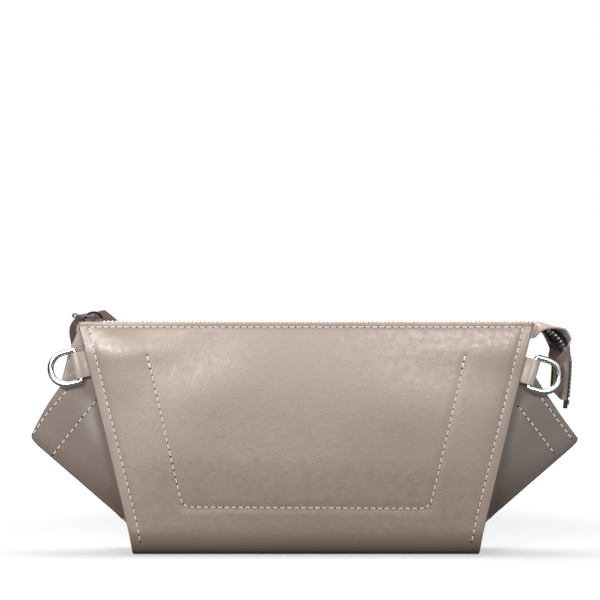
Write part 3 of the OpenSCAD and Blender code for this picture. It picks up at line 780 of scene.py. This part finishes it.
def wing_ripple(x, y, z, side):
    """How far a wing's face moves in depth: a valley by the panel, a swell along the fold."""
    out = side * x - half_width(z)
    fall = VALLEY[side] * bell(out, 3, 5) * min(max((104 - z) / 10, 0), 1)
    above = off_line(x, z, HEM[side][1], (side * FOLD_FOOT[0], FOLD_FOOT[1]))
    fall -= FOLD_SWELL * bell(above, 5, 8) * min(max((z - 26) / 14, 0), 1)
    return (fall + RIPPLE * sin(out / 5.5 + z / 13) * bell(out, 12, 12)) * (1 if y < 0 else -1)


for side, word in ((-1, "left"), (1, "right")):
    for part, node in (("wing", "gusset_"), ("facing", "gusset_facing_")):
        piece = dressed_copy(
            part + "_" + word, node + word, "bag", "leather",
            wing_leather_painted_shade[side], rounds=2, rim=0.25 if part == "wing" else 0.2,
        )
        for vertex in piece.data.vertices:
            x, y, z = (c / MM for c in vertex.co)
            dx, dz = shift_hem(x, z, side) + round_tip(x, z, side)
            vertex.co.x += dx * MM
            vertex.co.z += dz * MM
            if side * x > half_width(z) - 2 and z > 20:
                vertex.co.y += wing_ripple(x, y, z, side) * MM
        if part == "wing":
            skin = skin_of(piece)
            sew("hem_" + word,
                [holes_on(skin, row, face) for row in HEM_ROWS[side] for face in (-1, 1)])

# A narrow strip of calf runs along each side of the mouth. Its flange is sewn behind the panel's
# top edge, its web carries the zip, and its ends run out as loose tails.
STRIP = (0.4, 0.305, 0.245)
STRIP_DEEP = (0.33, 0.245, 0.195)
# The right tail's lower outer face is coloured darker: painted shade where the tail arches away
# from the light.
STRIP_SHADED = (0.2, 0.14, 0.105)
FLESH = {"front": (0.14, 0.098, 0.074), "back": (0.1, 0.054, 0.043)}
LEFT_TAIL_X = -130
LEFT_TAIL_Z = 136
LEFT_TAIL_STRETCH = 1.8
LEFT_TAIL_OUT = 2.1
TAIL_RUN = 32
PAINTED_SHADE_TAIL_X = 148
PAINTED_SHADE_TAIL_Z = 126
strip_leather = leather("strip_leather", STRIP, STRIP_DEEP, 0.45)
shaded_leather = leather("strip_leather_painted_shade", STRIP_SHADED, STRIP_SHADED, 0.5)
for word, facing in (("front", 1), ("back", -1)):
    flesh = leather("flesh_side_" + word, FLESH[word], [c * 0.75 for c in FLESH[word]],
                    0.65, 1.6, 0.3)
    strip = dressed_copy("mouth_strip_" + word, "zip_strip_" + word, "bag", "leather",
                         strip_leather, flesh, shaded_leather, rounds=2, rim=0.18)
    for polygon in strip.data.polygons:
        x, _, z = (c / MM for c in polygon.center)
        inward = abs(x) > TOP_W / 2 - TAIL_RUN and polygon.normal.y * facing > 0.15
        # Faces low on the right tail take the painted shade colour.
        low = x > PAINTED_SHADE_TAIL_X and z < PAINTED_SHADE_TAIL_Z
        polygon.material_index = 1 if inward else 2 if low else 0
    if word == "back":
        for vertex in strip.data.vertices:
            x, z = vertex.co.x / MM, vertex.co.z / MM
            if x < LEFT_TAIL_X:
                out = LEFT_TAIL_OUT * bell(z, LEFT_TAIL_Z - 3, 7)
                vertex.co.x -= out * min((LEFT_TAIL_X - x) / 8, 1) * MM
                if z < LEFT_TAIL_Z:
                    hang = (LEFT_TAIL_Z - z) * LEFT_TAIL_STRETCH
                    vertex.co.z = (LEFT_TAIL_Z - hang) * MM

# The zip's two tapes are black woven polyester. Each is sewn under its strip's web and follows
# the strip out into the tails, with the teeth on its edge.
TAPE = (0.02, 0.02, 0.023)
tape_weave = plain("black_tape", TAPE, 0.85, vary=0.3, scale=3000, bump_depth=0.15)
for word in ("front", "back"):
    dressed_copy("tape_" + word, "zip_tape_" + word, "bag", "zip_tape", tape_weave,
                 rounds=1, rim=0.1)

# The teeth are stamped from nickel silver, crimped on the tapes' edges, and polished. The stops
# are clamped over the ends of the rows.
TEETH = (0.78, 0.775, 0.76)
teeth_metal = plain("polished_teeth", TEETH, 0.2, 1.0, vary=0.08, scale=500)


def finish_node(node, material):
    """Puts a material on a metal node that is kept as the CAD made it."""
    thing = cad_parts[node]
    for slot in thing.material_slots:
        slot.material = material


for node in ("zip_teeth_front", "zip_teeth_back", "zip_top_stop_front", "zip_top_stop_back",
             "zip_bottom_stop"):
    finish_node(node, teeth_metal)

# The slider is die-cast and plated: two plates on a post, a riveted crown, and a short puller
# that ends in a drilled knuckle.
SLIDER = (0.42, 0.43, 0.44)
# The crown is coloured near black, far darker than the rest of the slider.
CROWN = (0.05, 0.055, 0.06)
slider_metal = plain("plated_slider", SLIDER, 0.2, 1.0, vary=0.06, scale=300)
crown_metal = plain("near_black_crown", CROWN, 0.18, 1.0, vary=0.06, scale=300)
for node in ("zip_slider_body", "zip_pull"):
    finish_node(node, slider_metal)
finish_node("zip_slider_crown", crown_metal)

# A short tab of calf is folded round each ring's straight bar, and its two ends are held in the
# side seam behind the front panel.
TAB = (0.39, 0.308, 0.252)
TAB_DEEP = (0.33, 0.256, 0.208)
tab_leather = leather("tab_leather", TAB, TAB_DEEP, 0.42)
for word in ("left", "right"):
    dressed_copy("ring_tab_" + word, "dring_tab_" + word, "bag", "leather", tab_leather,
                 rounds=0, rim=0.3)

# The D-rings are bent from steel wire that is upset thicker round the bow, brazed shut in the
# bar, and nickel plated.
RING = (0.8, 0.81, 0.82)
WIRE_R = 1.5
BOW_WIRE_R = 1.9
RING_R = 10.15
RING_DEPTH = 6.9
RING_CORNER_R = 1.7
BAR_OUT = 6.6
BAR_IN = 2.05
RINGS = [
    # side, word, how far the bar's middle lies under the top edge, tilt in degrees
    (-1, "left", 26.1, 14),
    (1, "right", 30.2, 17),
]
WIRE_SIDES = 20
ring_metal = plain("nickel_plate", RING, 0.13, 1.0, vary=0.04, scale=200)


def ring_path():
    """Middle line of a flat ring, as (outwards, along the bar, wire radius)."""
    leg = RING_DEPTH - RING_CORNER_R
    bow_r = RING_R - (BOW_WIRE_R - WIRE_R)
    bow_points = 41
    path = []
    for k in range(bow_points):
        a = -pi / 2 + pi * k / (bow_points - 1)
        path.append((RING_DEPTH + bow_r * cos(a), bow_r * sin(a), BOW_WIRE_R))
    for k in range(1, 5):
        path.append((RING_DEPTH - leg * k / 4, bow_r, BOW_WIRE_R))
    for k in range(1, 9):
        a = pi / 2 + pi / 2 * k / 8
        size = BOW_WIRE_R + (WIRE_R - BOW_WIRE_R) * k / 8
        path.append((RING_CORNER_R + RING_CORNER_R * cos(a),
                     bow_r - RING_CORNER_R + RING_CORNER_R * sin(a), size))
    half = path + [(0, bow_r - RING_CORNER_R - 2 * k, WIRE_R) for k in range(1, 5)]
    return half + [(u, -v, r) for u, v, r in reversed(half[bow_points:])]


for side, word, drop, tilt in RINGS:
    bar_z = BODY_H - drop
    bend_y = FLAT_HALF + (BEND_R - BAR_IN) * cos(LEAN)
    bend_z = BEND_R + (BEND_R - BAR_IN) * sin(LEAN)
    bar_y = -bend_y + (bar_z - bend_z) * tan(LEAN)
    bar = Vector((side * (half_width(bar_z) + BAR_OUT), bar_y, bar_z))
    a = radians(tilt)
    up = Vector((side * sin(a), sin(LEAN) * cos(a), cos(LEAN) * cos(a)))
    outward = Vector((side * cos(a), -sin(LEAN) * sin(a), -cos(LEAN) * sin(a)))
    thick = outward.cross(up).normalized()
    line = ring_path()
    verts, faces = [], []
    for i, (u, v, r) in enumerate(line):
        before, after = line[i - 1], line[(i + 1) % len(line)]
        way = Vector((after[0] - before[0], after[1] - before[1])).normalized()
        square = outward * way.y - up * way.x
        for k in range(WIRE_SIDES):
            turn = 2 * pi * k / WIRE_SIDES
            place = bar + outward * u + up * v + (square * cos(turn) + thick * sin(turn)) * r
            verts.append(place * MM)
    for i in range(len(line)):
        here, there = i * WIRE_SIDES, (i + 1) % len(line) * WIRE_SIDES
        for k in range(WIRE_SIDES):
            after = (k + 1) % WIRE_SIDES
            faces.append((here + k, here + after, there + after, there + k))
    ring = new_piece("ring_" + word, verts, faces, "ring_" + word, "ring_metal", ring_metal)
    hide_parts("dring_" + word)
